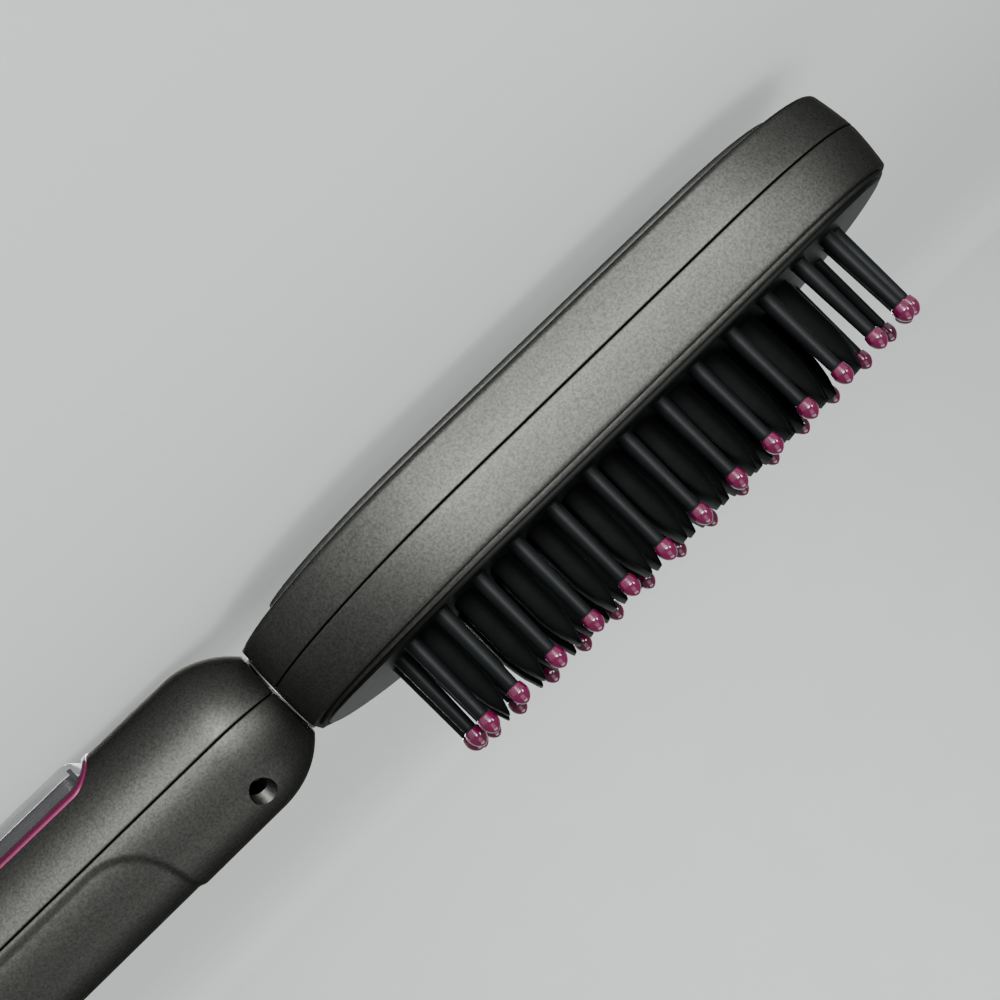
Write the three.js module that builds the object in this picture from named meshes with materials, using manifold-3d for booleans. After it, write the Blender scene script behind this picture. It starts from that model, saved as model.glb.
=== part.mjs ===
import * as THREE from 'three';
import { mergeVertices } from 'three/addons/utils/BufferGeometryUtils.js';
import Module from 'manifold-3d';

// A heated styling brush. Millimetres. While it is built, X = 0 is the plane where the head meets the
// handle, +X runs to the tip of the head, +Z is the bristle side and Z = 0 is the seam between the casing
// halves. The finished brush is then moved so that it lies on its back with its origin under its middle.

// Clearances
const fit = 0.3;
const seamGap = 0.3;

// Head casing
const headLength = 135.7;
const headHalfWidth = 30.5;
const tipRound = 36;
const tipFullness = 2.3;
const neckRound = 46;
const neckHalfWidth = 9.5;
const headBackDepth = 8.7;
const headFrontDepth = 9.2;
const rimInset = 1;
const casingWall = 1.5;
const casingFillet = 1.2;
const rimChamfer = 0.4;
const rimThickness = 1.9;
const rimCrown = 0.9;

// Back panel
const panelMargin = 8.2;
const panelNeckMargin = 8;
const panelTipMargin = 7.5;
const panelRise = 2;
const panelEdge = 1.1;

// Pins and their ends
const pinPitch = 8;
const firstPinX = 27.3;
const pinTipMargin = 25;
const pinRowY = 20;
const pinNeckRound = 10;
const pinTipRound = 13.1;
const pinsPerEnd = 5;
const pinBaseRadius = 1.5;
const pinTopRadius = 1.15;
const pinBore = 0.8;
const coreRadius = 0.45;
const pinHeight = 16;
const tipRadius = 1.6;
const tipHeight = 3.2;
const tipWaist = 1.1;
const tipShoulder = 2.4;
const tipShoulderRadius = 1.3;
const runnerWidth = 1.2;
const runnerDepth = 1.2;

// Bristle frame
const frameInset = 3.4;
const frameNeckInset = 1.9;
const frameRise = 1.8;
const frameCrown = 1.9;
const frameEdge = 0.3;
const frameThickness = 2;
const frameSkirt = 1.3;
const frameFlange = 1.2;
const flangeReach = 0.8;
const bossRadius = 1.9;
const bossY = 17;

// Fins and heating plate
const finThickness = 3.9;
const finLength = 8;
const finRise = 18.4;
const finTaper = 7.4;
const finShoulder = 2.7;
const finPoint = 3.7;
const finEdge = 0.5;
const finRowY = 10;
const middleFinShift = 0.2;
const outerFinShift = -3.2;
const plateThickness = 2;
const plateMargin = 0.4;
const plateCorner = 1.5;
const plateBossRadius = 2.2;
const plateBossInset = 3.2;
const plateBossY = 10.8;

// Heater stack
const micaThickness = 0.5;
const heaterThickness = 1.6;
const heaterEndMargin = 6;
const heaterWidth = 12;
const micaMargin = 0.8;
const micaEndMargin = 1.5;
const sheetCorner = 1;
const clampThickness = 1;
const sensorLength = 6;
const sensorWidth = 3;
const sensorHeight = 1.5;
const sensorInset = 4;
const fuseRadius = 1.1;
const fuseLength = 9;
const shieldThickness = 0.7;
const shieldWidth = 29;
const shieldCorner = 3;
const ribHeight = 3.8;
const ribThickness = 1.6;

// Screws
const shankRadius = 0.9;
const screwHeadRadius = 1.8;
const screwHeadHeight = 1.3;
const counterboreDepth = 2.2;
const postRadius = 3.1;
const postTop = -4.8;
const screwTipGap = 1;
const neckShankRadius = 1.1;
const neckHeadRadius = 2;
const recessRadius = 2.3;
const neckScrewX = -12.2;
const neckScrewInset = 5.4;
const neckSeatDepth = 8.8;
const tailScrewInset = 14;
const tailSeatDepth = 6.8;
const screwLength = 10;
const tailScrewLength = 15;

// Handle
const handleRadius = 14.4;
const handleDrop = 0.6;
const handleWall = 1.8;
const handleLength = 150;
const domeLength = 12.5;
const domeNeckRadius = 8.1;
const gripDepth = 0.45;
const gripFront = -30.5;
const gripEndInset = 9;
const gripSide = 1.4;
const gripRound = 9.6;

// Neck
const ringThickness = 0.4;
const ringRadius = 8;
const tubeRadius = 5;
const tubeBore = 3.6;
const tubeReach = 15;
const collarRadius = 7;
const collarThickness = 1.3;

// Control panel
const bezelFront = -29.4;
const bezelBack = -98;
const bezelHalfWidth = 11.1;
const bezelRound = 4.8;
const bezelWidth = 1.9;
const bezelProud = 0.25;
const bezelHeight = 6.4;
const lensRise = 0.3;
const lensThickness = 1.7;
const lensSkirt = 1;
const lensEdge = 0.6;
const displayLength = 22;
const displayWidth = 12;
const displayFront = -37;
const buttonRadius = 3.2;
const buttonFlange = 1;
const buttonFlangeThickness = 0.8;
const buttonEdge = 0.3;
const buttonRecess = 0.3;
const buttonTravel = 0.5;
const stemRadius = 1.2;
const stemLength = 0.3;
const minusButtonX = -67;
const powerButtonX = -77.5;
const plusButtonX = -88;

// Circuit board
const boardDepth = 7.5;
const boardThickness = 1.6;
const boardPostInset = 15;
const boardPostBackInset = 4;
const boardPostRadius = 2;
const switchSize = 6;
const switchPlunger = 0.4;
const plungerRadius = 1.6;
const capacitorSize = [13, 8, 7];
const capacitorX = -60;
const triacSize = [10, 9, 4.5];
const triacTab = 1.2;
const triacTabLength = 4;
const triacX = -80;

// Leads
const leadRadius = 0.8;
const leadSpacing = 1.9;
const leadInset = 8;
const leadBend = 6;
const leadStraight = 2;
const leadSplit = 5;
const leadGap = 0.2;

// End cap and cord gland
const capLength = 3;
const capEdge = 1.2;
const spigotLength = 6;
const glandRadius = 5;
const glandBore = 3.1;
const glandReach = 6;
const glandEdge = 0.8;
const glandSeatDepth = 0.5;
const glandFlange = 2.3;
const glandFlangeThickness = 1.5;
const retainerThickness = 1;

// How far joined shapes run into each other, and how far cuts run past the surface
const weld = 0.5;
const past = 1;
const far = 200;

// Longest edge of the frame's faces before they are crowned
const crownStep = 9;

const wasm = await Module();
wasm.setup();

// Materials
const finish = (color, roughness, metalness) => () =>
  new THREE.MeshStandardMaterial({ color, roughness, metalness });
const graphite = finish(0x6b6762, 0.45, 0.6);
const black = finish(0x141617, 0.4, 0);
const magenta = finish(0xa8246c, 0.25, 0.1);
const coatedMetal = finish(0x101213, 0.35, 0.5);
const steel = finish(0xb9bcc0, 0.35, 1);
const mica = finish(0xb8a98a, 0.6, 0);
const ceramic = finish(0xe6e2d8, 0.5, 0);
const clear = finish(0xc9ced0, 0.1, 0.1);
const boardGreen = finish(0x1f5a3a, 0.5, 0);
const whiteLead = finish(0xe8e4da, 0.5, 0);
const redLead = finish(0xb03a2e, 0.5, 0);

// Geometry to solid and back
function solid(geometry) {
  geometry.deleteAttribute('normal');
  geometry.deleteAttribute('uv');
  const merged = mergeVertices(geometry, 1e-4);
  const corners = merged.index.array;
  const faces = [];
  for (let i = 0; i < corners.length; i += 3) {
    const [a, b, c] = [corners[i], corners[i + 1], corners[i + 2]];
    if (a !== b && b !== c && c !== a) faces.push(a, b, c);
  }
  const triVerts = new Uint32Array(faces);
  const vertProperties = new Float32Array(merged.attributes.position.array);
  return new wasm.Manifold(new wasm.Mesh({ numProp: 3, vertProperties, triVerts }));
}

function meshOf(name, shape, material) {
  const { vertProperties, triVerts } = shape.getMesh();
  const geometry = new THREE.BufferGeometry();
  geometry.setAttribute('position', new THREE.BufferAttribute(vertProperties, 3));
  geometry.setIndex(new THREE.BufferAttribute(triVerts, 1));
  const flat = geometry.toNonIndexed();
  flat.computeVertexNormals();
  const mesh = new THREE.Mesh(flat, material());
  mesh.name = name;
  return mesh;
}

// Closed body through outlines that have as many points each, from the lowest to the highest
function loft(layers) {
  const count = layers[0].outline.length;
  const positions = layers.flatMap(({ outline, z }) => outline.flatMap((p) => [p.x, p.y, z]));
  const faces = [];
  for (let layer = 0; layer + 1 < layers.length; layer += 1) {
    for (let i = 0; i < count; i += 1) {
      const a = layer * count + i;
      const b = layer * count + ((i + 1) % count);
      faces.push(a, b, b + count, a, b + count, a + count);
    }
  }
  const top = (layers.length - 1) * count;
  for (const [a, b, c] of THREE.ShapeUtils.triangulateShape(layers[0].outline, [])) {
    faces.push(a, c, b);
  }
  for (const [a, b, c] of THREE.ShapeUtils.triangulateShape(layers[layers.length - 1].outline, [])) {
    faces.push(top + a, top + b, top + c);
  }
  const geometry = new THREE.BufferGeometry();
  geometry.setAttribute('position', new THREE.BufferAttribute(new Float32Array(positions), 3));
  geometry.setIndex(faces);
  return solid(geometry);
}

function prism(outline, low, high) {
  return loft([{ outline, z: low }, { outline, z: high }]);
}

function box(x, y, z) {
  const geometry = new THREE.BoxGeometry(x[1] - x[0], y[1] - y[0], z[1] - z[0]);
  geometry.translate((x[0] + x[1]) / 2, (y[0] + y[1]) / 2, (z[0] + z[1]) / 2);
  return solid(geometry);
}

// Round post along Z, tapered where the two radii differ
function post(x, y, z, radius, topRadius = radius, sides = 12) {
  const geometry = new THREE.CylinderGeometry(topRadius, radius, z[1] - z[0], sides);
  geometry.rotateX(Math.PI / 2);
  geometry.translate(x, y, (z[0] + z[1]) / 2);
  return solid(geometry);
}

// Turned shape about an axis along X or Z, from [distance along the axis, radius] pairs
function turnedX(profile, z, sides) {
  const geometry = new THREE.LatheGeometry(profile.map(([x, r]) => new THREE.Vector2(r, x)), sides);
  geometry.rotateZ(-Math.PI / 2);
  geometry.translate(0, 0, z);
  return solid(geometry);
}

// Round bar along X
function rod(radius, back, front, z, sides) {
  return turnedX([[back, 0], [back, radius], [front, radius], [front, 0]], z, sides);
}

function turnedZ(profile, x, y, sides) {
  const geometry = new THREE.LatheGeometry(profile.map(([z, r]) => new THREE.Vector2(r, z)), sides);
  geometry.rotateX(Math.PI / 2);
  geometry.translate(x, y, 0);
  return solid(geometry);
}

function joined(shapes) {
  return shapes.reduce((whole, shape) => whole.add(shape));
}

function cut(shape, tools) {
  return tools.reduce((rest, tool) => rest.subtract(tool), shape);
}

// Outline in the X and Z directions, extruded along Y
function sidePrism(outline, [low, high]) {
  const shape = new THREE.Shape(outline.map(([x, z]) => new THREE.Vector2(x, z)));
  const geometry = new THREE.ExtrudeGeometry(shape, { depth: high - low, bevelEnabled: false });
  geometry.rotateX(Math.PI / 2);
  geometry.translate(0, high, 0);
  return solid(geometry);
}

// Rectangle with rounded corners, counterclockwise
function cornerOutline(xBack, xFront, halfWidth, radius, steps = 4) {
  const points = [];
  const corners = [
    [xFront - radius, -halfWidth + radius, -Math.PI / 2],
    [xFront - radius, halfWidth - radius, 0],
    [xBack + radius, halfWidth - radius, Math.PI / 2],
    [xBack + radius, -halfWidth + radius, Math.PI],
  ];
  for (const [x, y, start] of corners) {
    for (let i = 0; i <= steps; i += 1) {
      const angle = start + (Math.PI / 2) * (i / steps);
      points.push(new THREE.Vector2(x + radius * Math.cos(angle), y + radius * Math.sin(angle)));
    }
  }
  return points;
}

// Head outline: straight sides, a full round tip and half an ellipse that the neck plane cuts off
const headStart = ringThickness / 2 + fit;
const tipCentre = headLength - tipRound;
const neckTurn = Math.acos(neckHalfWidth / headHalfWidth);
const neckCentre = neckRound * Math.sin(neckTurn);

function fuller(value) {
  return Math.sign(value) * Math.abs(value) ** (2 / tipFullness);
}

function planOutline(halfWidth, neckLength, tipLength, startX, neckSteps = 7, tipSteps = 16) {
  const turn = Math.asin(Math.min(1, (neckCentre - startX) / neckLength));
  const side = [];
  for (let i = neckSteps; i >= 0; i -= 1) {
    const t = (turn * i) / neckSteps;
    side.push([neckCentre - neckLength * Math.sin(t), halfWidth * Math.cos(t)]);
  }
  const points = side.map(([x, y]) => new THREE.Vector2(x, -y));
  for (let i = 0; i <= tipSteps; i += 1) {
    const t = -Math.PI / 2 + (Math.PI * i) / tipSteps;
    const x = tipCentre + tipLength * fuller(Math.cos(t));
    points.push(new THREE.Vector2(x, halfWidth * fuller(Math.sin(t))));
  }
  return points.concat(side.reverse().map(([x, y]) => new THREE.Vector2(x, y)));
}

function headOutline(inset, startX, endInset = inset) {
  return planOutline(headHalfWidth - inset, neckRound - endInset, tipRound - endInset, startX);
}

// The frame's outline is round at the neck too
function frameOutline(inset, neckInset = inset) {
  const startX = headStart + frameNeckInset + neckInset;
  const halfWidth = headHalfWidth - frameInset - inset;
  return planOutline(halfWidth, neckCentre - startX, tipRound - frameInset - inset, startX, 10);
}

// The casing leans in from the seam to either rim
function leanAt(z) {
  return (rimInset * Math.abs(z)) / Math.max(headBackDepth, headFrontDepth);
}

// The rim and the frame are crowned: they fall from the middle of the head to either end, and the pins
// and their ends fall with the frame
const headMiddle = (headStart + headLength) / 2;

function fall(crown, x) {
  return crown * (Math.abs(x - headMiddle) / (headLength - headMiddle)) ** 4;
}

function crowned(shape, crown, low, high = far) {
  return shape.warp((corner) => {
    if (corner[2] > low && corner[2] < high) corner[2] -= fall(crown, corner[0]);
  });
}

const pinColumns = Math.floor((headLength - pinTipMargin - firstPinX) / pinPitch) + 1;
const lastPinX = firstPinX + pinPitch * (pinColumns - 1);
const plateBack = firstPinX + outerFinShift - finThickness / 2 - plateMargin;
const plateFront = lastPinX + middleFinShift + finThickness / 2 + plateMargin;
const frameTop = headFrontDepth + frameRise;
const frameUnderside = frameTop - frameThickness;
const plateFall = Math.max(fall(frameCrown, plateBack), fall(frameCrown, plateFront));
const plateTop = frameUnderside - plateFall - fit;
const plateBottom = plateTop - plateThickness;
const finTop = frameTop + finRise;
const tubeHole = tubeRadius + fit;
const collarStart = headStart + casingWall + fit;
const collarEnd = collarStart + collarThickness;

function neckHole() {
  return rod(tubeHole, -tubeReach - fit, headStart + casingWall + past, 0, 20);
}

function collarRoom() {
  return rod(collarRadius + fit, collarStart - fit, collarEnd + fit, 0, 20);
}

const bossX = [firstPinX + pinPitch, lastPinX - pinPitch];
const ribPlaces = bossX.map((x) => x + postRadius + ribThickness / 2);
const headScrewPlaces = bossX.flatMap((x) => [[x, bossY], [x, -bossY]]);

function headBackShell() {
  const filletZ = casingFillet - headBackDepth;
  const filletInset = leanAt(filletZ);
  const outer = [];
  for (const degrees of [90, 60, 30]) {
    const angle = THREE.MathUtils.degToRad(degrees);
    const inset = filletInset + casingFillet * (1 - Math.cos(angle));
    outer.push({ outline: headOutline(inset, headStart), z: filletZ - casingFillet * Math.sin(angle) });
  }
  outer.push({ outline: headOutline(filletInset, headStart), z: filletZ });
  outer.push({ outline: headOutline(0, headStart), z: -seamGap / 2 });
  const innerStart = headStart + casingWall;
  const floorZ = casingWall - headBackDepth;
  const cavity = loft([
    { outline: headOutline(leanAt(floorZ) + casingWall, innerStart), z: floorZ },
    { outline: headOutline(casingWall, innerStart), z: 0 },
    { outline: headOutline(casingWall, innerStart), z: past },
  ]);
  const posts = headScrewPlaces.map(([x, y]) => post(x, y, [floorZ - weld, postTop], postRadius));
  const ribs = ribPlaces.map((x) => box(
    [x, x + ribThickness],
    [-shieldWidth / 2, shieldWidth / 2],
    [floorZ - weld, floorZ + ribHeight],
  ));
  const bores = headScrewPlaces.flatMap(([x, y]) => [
    post(x, y, [-headBackDepth - past, counterboreDepth - headBackDepth], screwHeadRadius + fit),
    post(x, y, [-headBackDepth - past, postTop + past], shankRadius + fit),
  ]);
  const tray = loft(outer).subtract(cavity);
  return cut(joined([tray, ...posts, ...ribs]), [...bores, neckHole()]);
}

function headFrontShell() {
  const chamferZ = headFrontDepth - rimChamfer;
  const lipZ = headFrontDepth - rimThickness;
  const innerStart = headStart + casingWall;
  const outer = loft([
    { outline: headOutline(0, headStart), z: seamGap / 2 },
    { outline: headOutline(leanAt(chamferZ), headStart), z: chamferZ },
    { outline: headOutline(leanAt(headFrontDepth) + rimChamfer, headStart), z: headFrontDepth },
  ]);
  const cavity = loft([
    { outline: headOutline(casingWall, innerStart), z: -past },
    { outline: headOutline(casingWall + leanAt(lipZ), innerStart), z: lipZ },
  ]);
  const mouth = prism(frameOutline(-fit), lipZ - past, headFrontDepth + past);
  return cut(crowned(cut(outer, [cavity, mouth]), rimCrown, lipZ - fit), [neckHole(), collarRoom()]);
}

function backPanel() {
  const top = -headBackDepth - fit;
  const outline = (inset) => headOutline(
    panelMargin + inset,
    headStart + panelNeckMargin + inset,
    panelTipMargin + inset,
  );
  return loft([
    { outline: outline(panelEdge), z: top - panelRise },
    { outline: outline(0), z: top - panelRise / 3 },
    { outline: outline(0), z: top },
  ]);
}

// Pin places: two straight rows, and at each end a half ellipse with its pins evenly spaced along it
function ellipsePlaces(count, length, halfWidth) {
  const samples = 400;
  const lengths = [0];
  for (let i = 1; i <= samples; i += 1) {
    const a = (Math.PI * (i - 1)) / samples;
    const b = (Math.PI * i) / samples;
    const dx = length * (Math.sin(b) - Math.sin(a));
    const dy = halfWidth * (Math.cos(b) - Math.cos(a));
    lengths.push(lengths[i - 1] + Math.hypot(dx, dy));
  }
  const places = [];
  for (let pin = 1; pin <= count; pin += 1) {
    const wanted = (lengths[samples] * pin) / (count + 1);
    const angle = (Math.PI * lengths.findIndex((l) => l >= wanted)) / samples;
    places.push([length * Math.sin(angle), halfWidth * Math.cos(angle)]);
  }
  return places;
}

const pinPlaces = [];
for (let column = 0; column < pinColumns; column += 1) {
  const x = firstPinX + pinPitch * column;
  pinPlaces.push([x, pinRowY], [x, -pinRowY]);
}
for (const [x, y] of ellipsePlaces(pinsPerEnd, pinNeckRound, pinRowY)) {
  pinPlaces.push([firstPinX - x, y]);
}
for (const [x, y] of ellipsePlaces(pinsPerEnd, pinTipRound, pinRowY)) {
  pinPlaces.push([lastPinX + x, y]);
}

// Fin places: the outer rows stand between the pin columns and the middle row almost on them
const finPlaces = [];
for (let column = 0; column < pinColumns; column += 1) {
  const x = firstPinX + pinPitch * column;
  finPlaces.push([x + middleFinShift, 0], [x + outerFinShift, finRowY], [x + outerFinShift, -finRowY]);
}

const pinTop = frameTop + pinHeight;

function bristleFrame() {
  const flangeTop = headFrontDepth - rimThickness - fit;
  const flangeBottom = flangeTop - frameFlange;
  const flangeOutline = frameOutline(-flangeReach, casingWall + fit - frameNeckInset);
  const body = loft([
    { outline: flangeOutline, z: flangeBottom },
    { outline: flangeOutline, z: flangeTop },
    { outline: frameOutline(0), z: flangeTop },
    { outline: frameOutline(0), z: frameTop - frameEdge },
    { outline: frameOutline(frameEdge), z: frameTop },
  ]);
  const hollow = prism(frameOutline(frameSkirt), flangeBottom - past, frameUnderside);
  const tray = body.subtract(hollow).refineToLength(crownStep);
  const bosses = headScrewPlaces.map(([x, y]) =>
    post(x, y, [postTop + fit, frameUnderside + weld], bossRadius));
  const pins = pinPlaces.map(([x, y]) =>
    post(x, y, [frameTop - weld, pinTop], pinBaseRadius, pinTopRadius, 8));
  const slots = finPlaces.map(([x, y]) => box(
    [x - finThickness / 2 - fit, x + finThickness / 2 + fit],
    [y - finLength / 2 - fit, y + finLength / 2 + fit],
    [flangeTop, frameTop + past],
  ));
  const pinBores = pinPlaces.map(([x, y]) => post(x, y, [flangeTop, pinTop + past], pinBore, pinBore, 8));
  const screwBores = headScrewPlaces.map(([x, y]) =>
    post(x, y, [postTop - past, postTop + screwLength], shankRadius + fit));
  const risen = crowned(tray, frameCrown, flangeTop + fit);
  const plate = crowned(risen, rimCrown, flangeBottom - fit, flangeTop + fit);
  const shape = joined([plate, ...bosses, ...pins.map((pin) => crowned(pin, frameCrown, flangeTop))]);
  return cut(shape, [...slots, ...pinBores, ...screwBores, collarRoom()]);
}

function pinPath(offset, steps = 10) {
  const halfWidth = pinRowY + offset;
  const points = [];
  for (let i = 0; i <= steps; i += 1) {
    const t = -Math.PI / 2 + (Math.PI * i) / steps;
    const x = lastPinX + (pinTipRound + offset) * Math.cos(t);
    points.push(new THREE.Vector2(x, halfWidth * Math.sin(t)));
  }
  for (let i = 0; i <= steps; i += 1) {
    const t = Math.PI / 2 + (Math.PI * i) / steps;
    const x = firstPinX + (pinNeckRound + offset) * Math.cos(t);
    points.push(new THREE.Vector2(x, halfWidth * Math.sin(t)));
  }
  return points;
}

function tipInsert() {
  const runnerTop = frameUnderside - fit;
  const runnerBottom = runnerTop - runnerDepth;
  const band = prism(pinPath(runnerWidth / 2), runnerBottom, runnerTop);
  const opening = prism(pinPath(-runnerWidth / 2), runnerBottom - past, runnerTop + past);
  const ballBase = pinTop + fit;
  const profile = [
    [runnerTop - weld, 0],
    [runnerTop - weld, coreRadius],
    [ballBase, coreRadius],
    [ballBase, pinTopRadius],
    [ballBase + tipWaist, tipRadius],
    [ballBase + tipShoulder, tipShoulderRadius],
    [ballBase + tipHeight, 0],
  ];
  const tips = pinPlaces.map(([x, y]) => turnedZ(profile, x, y, 8));
  return crowned(joined([band.subtract(opening), ...tips]), frameCrown, -far);
}

const stackX = (firstPinX + lastPinX - pinPitch / 2) / 2;
const heaterLength = lastPinX - firstPinX - 2 * heaterEndMargin;
const plateBossX = [firstPinX + plateBossInset, lastPinX - plateBossInset];
const plateScrewPlaces = plateBossX.flatMap((x) => [[x, plateBossY], [x, -plateBossY]]);
const micaTop = plateBottom - fit;
const heaterTop = micaTop - micaThickness - fit;
const heaterBottom = heaterTop - heaterThickness;
const heaterZ = (heaterTop + heaterBottom) / 2;
const insulatorTop = heaterBottom - fit;
const insulatorBottom = insulatorTop - micaThickness;
const clampTop = insulatorBottom - fit;
const clampBottom = clampTop - clampThickness;
const plateBoreEnd = plateBottom + plateThickness / 2;

// One heated fin: a thick plate across the brush whose free edge narrows to a point
function fin(x, y) {
  const half = finThickness / 2;
  const shoulder = finShoulder / 2;
  const outline = [
    [x - half, plateTop - weld],
    [x + half, plateTop - weld],
    [x + half, finTop - finTaper],
    [x + shoulder, finTop - finPoint],
    [x + finEdge / 2, finTop],
    [x - finEdge / 2, finTop],
    [x - shoulder, finTop - finPoint],
    [x - half, finTop - finTaper],
  ];
  return sidePrism(outline, [y - finLength / 2, y + finLength / 2]);
}

function heatingPlate() {
  const halfWidth = finRowY + finLength / 2 + plateMargin;
  const outline = cornerOutline(plateBack, plateFront, halfWidth, plateCorner);
  const plate = prism(outline, plateBottom, plateTop);
  const bosses = plateScrewPlaces.map(([x, y]) =>
    post(x, y, [insulatorBottom, plateBottom + weld], plateBossRadius));
  const bores = plateScrewPlaces.map(([x, y]) =>
    post(x, y, [insulatorBottom - past, plateBoreEnd], shankRadius + fit));
  const fins = finPlaces.map(([x, y]) => fin(x, y));
  return cut(joined([plate, ...bosses, ...fins]), bores);
}

function stackSheet(length, width, low, high) {
  const outline = cornerOutline(stackX - length / 2, stackX + length / 2, width / 2, sheetCorner);
  return prism(outline, low, high);
}

function micaSheet(low) {
  const length = heaterLength + 2 * micaEndMargin;
  return stackSheet(length, heaterWidth + 2 * micaMargin, low, low + micaThickness);
}

function elementClamp() {
  const margin = plateBossRadius;
  const [back, front] = plateBossX;
  const outline = cornerOutline(back - margin, front + margin, plateBossY + margin, margin);
  const sheet = prism(outline, clampBottom, clampTop);
  return cut(sheet, plateScrewPlaces.map(([x, y]) =>
    post(x, y, [clampBottom - past, clampTop + past], shankRadius + fit)));
}

// Screw along Z with its head at the lower end
function screw(x, y, seat, tip, shank = shankRadius, head = screwHeadRadius) {
  const under = seat - fit;
  return turnedZ([
    [under - screwHeadHeight, 0],
    [under - screwHeadHeight, head],
    [under, head],
    [under, shank],
    [tip, shank],
    [tip, 0],
  ], x, y, 10);
}

// Screw along Z with its head at the upper end
function screwFromAbove(x, y, seat, tip, shank, head) {
  const under = seat + fit;
  return turnedZ([
    [tip, 0],
    [tip, shank],
    [under, shank],
    [under, head],
    [under + screwHeadHeight, head],
    [under + screwHeadHeight, 0],
  ], x, y, 10);
}

const sensorY = heaterWidth / 2 + fit + sensorWidth / 2;
const sensorX = plateBossX[0] + plateBossRadius + sensorInset;

function thermistor() {
  return box(
    [sensorX, sensorX + sensorLength],
    [sensorY - sensorWidth / 2, sensorY + sensorWidth / 2],
    [heaterZ - sensorHeight / 2, heaterZ + sensorHeight / 2],
  );
}

function thermalFuse() {
  const y = heaterWidth / 2 + fit + fuseRadius;
  const geometry = new THREE.CylinderGeometry(fuseRadius, fuseRadius, fuseLength, 10);
  geometry.rotateZ(Math.PI / 2);
  geometry.translate(sensorX + fuseLength / 2, -y, heaterZ);
  return solid(geometry);
}

function heatShield() {
  const low = casingWall - headBackDepth + ribHeight + fit;
  const outline = cornerOutline(plateBossX[0], plateBossX[1], shieldWidth / 2, shieldCorner);
  return prism(outline, low, low + shieldThickness);
}

// Handle: a tube whose front end closes in a dome of one arc
const handleStart = -headStart;
const domeDrop = handleRadius - domeNeckRadius;
const domeRound = (domeLength ** 2 + domeDrop ** 2) / (2 * domeDrop);

function handleProfile(inset, start, end, steps = 6) {
  const round = domeRound - inset;
  const turn = Math.asin((domeLength + start) / round);
  const profile = [[end, 0], [end, handleRadius - inset]];
  for (let i = 0; i <= steps; i += 1) {
    const angle = (turn * i) / steps;
    const radius = handleRadius - domeRound + round * Math.cos(angle);
    profile.push([round * Math.sin(angle) - domeLength, radius]);
  }
  profile.push([start, 0]);
  return profile;
}

function handleTube() {
  const outer = turnedX(handleProfile(0, handleStart, -handleLength), -handleDrop, 32);
  const inside = handleProfile(handleWall, handleStart - handleWall, -handleLength - past);
  return { outer, hollow: [turnedX(inside, -handleDrop, 24), neckHole()] };
}

const handleTop = handleRadius - handleDrop;
const handleBack = -handleRadius - handleDrop;
const backHalf = box([-far, far], [-far, far], [-far, -seamGap / 2]);
const frontHalf = box([-far, far], [-far, far], [seamGap / 2, far]);
const neckScrewY = handleRadius - neckScrewInset;
const neckScrewPlaces = [[neckScrewX, neckScrewY], [neckScrewX, -neckScrewY]];
const tailScrewX = tailScrewInset - handleLength;
const neckSeatZ = handleTop - neckSeatDepth;
const tailSeatZ = handleTop - tailSeatDepth;
const neckTip = neckSeatZ - screwLength;
const tailTip = tailSeatZ - tailScrewLength;
const shellScrews = [
  ...neckScrewPlaces.map(([x, y]) => ({ x, y, seat: neckSeatZ, tip: neckTip })),
  { x: tailScrewX, y: 0, seat: tailSeatZ, tip: tailTip },
];

// Control panel
const lensFace = handleBack - lensRise;
const bezelLow = handleBack + bezelHeight;
const lensFront = bezelFront - bezelWidth - fit;
const lensBack = bezelBack + bezelWidth + fit;
const lensUnderside = lensFace + lensThickness;
const boardZ = lensFace + boardDepth;
const boardFace = boardZ - boardThickness;
const boardPostX = [lensFront - boardPostInset, lensBack + boardPostBackInset];
const buttonX = { minus: minusButtonX, power: powerButtonX, plus: plusButtonX };
const buttonNames = Object.keys(buttonX);

function panelOutline(inset) {
  const radius = bezelRound - inset;
  return cornerOutline(bezelBack + inset, bezelFront - inset, bezelHalfWidth - inset, radius, 6);
}

function handleBackShell() {
  const { outer, hollow } = handleTube();
  const bosses = shellScrews.map(({ x, y }) => post(x, y, [-far, 0], postRadius).intersect(outer));
  const bores = shellScrews.map(({ x, y, tip }) =>
    post(x, y, [tip - past, past], neckShankRadius + fit));
  const window = prism(panelOutline(-fit), -far, bezelLow + handleWall);
  const tube = outer.subtract(hollow[0]);
  return cut(joined([tube, ...bosses]).intersect(backHalf), [...bores, window, hollow[1]]);
}

// Shallow recess for the fingers, rounded at both ends when it is seen from the side
function gripCut() {
  const gripBack = gripEndInset - handleLength;
  const outline = [[gripBack, far], [gripBack, gripSide + gripRound]];
  const steps = 4;
  for (let i = 1; i <= steps; i += 1) {
    const angle = (Math.PI / 2) * (i / steps);
    outline.push([
      gripBack + gripRound * (1 - Math.cos(angle)),
      gripSide + gripRound * (1 - Math.sin(angle)),
    ]);
  }
  for (let i = 0; i <= steps; i += 1) {
    const angle = (Math.PI / 2) * (i / steps);
    outline.push([
      gripFront - gripRound * (1 - Math.sin(angle)),
      gripSide + gripRound * (1 - Math.cos(angle)),
    ]);
  }
  outline.push([gripFront, far]);
  const core = turnedX([
    [-far, 0],
    [-far, handleRadius - gripDepth],
    [far, handleRadius - gripDepth],
    [far, 0],
  ], -handleDrop, 32);
  return sidePrism(outline, [-far, far]).subtract(core);
}

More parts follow.
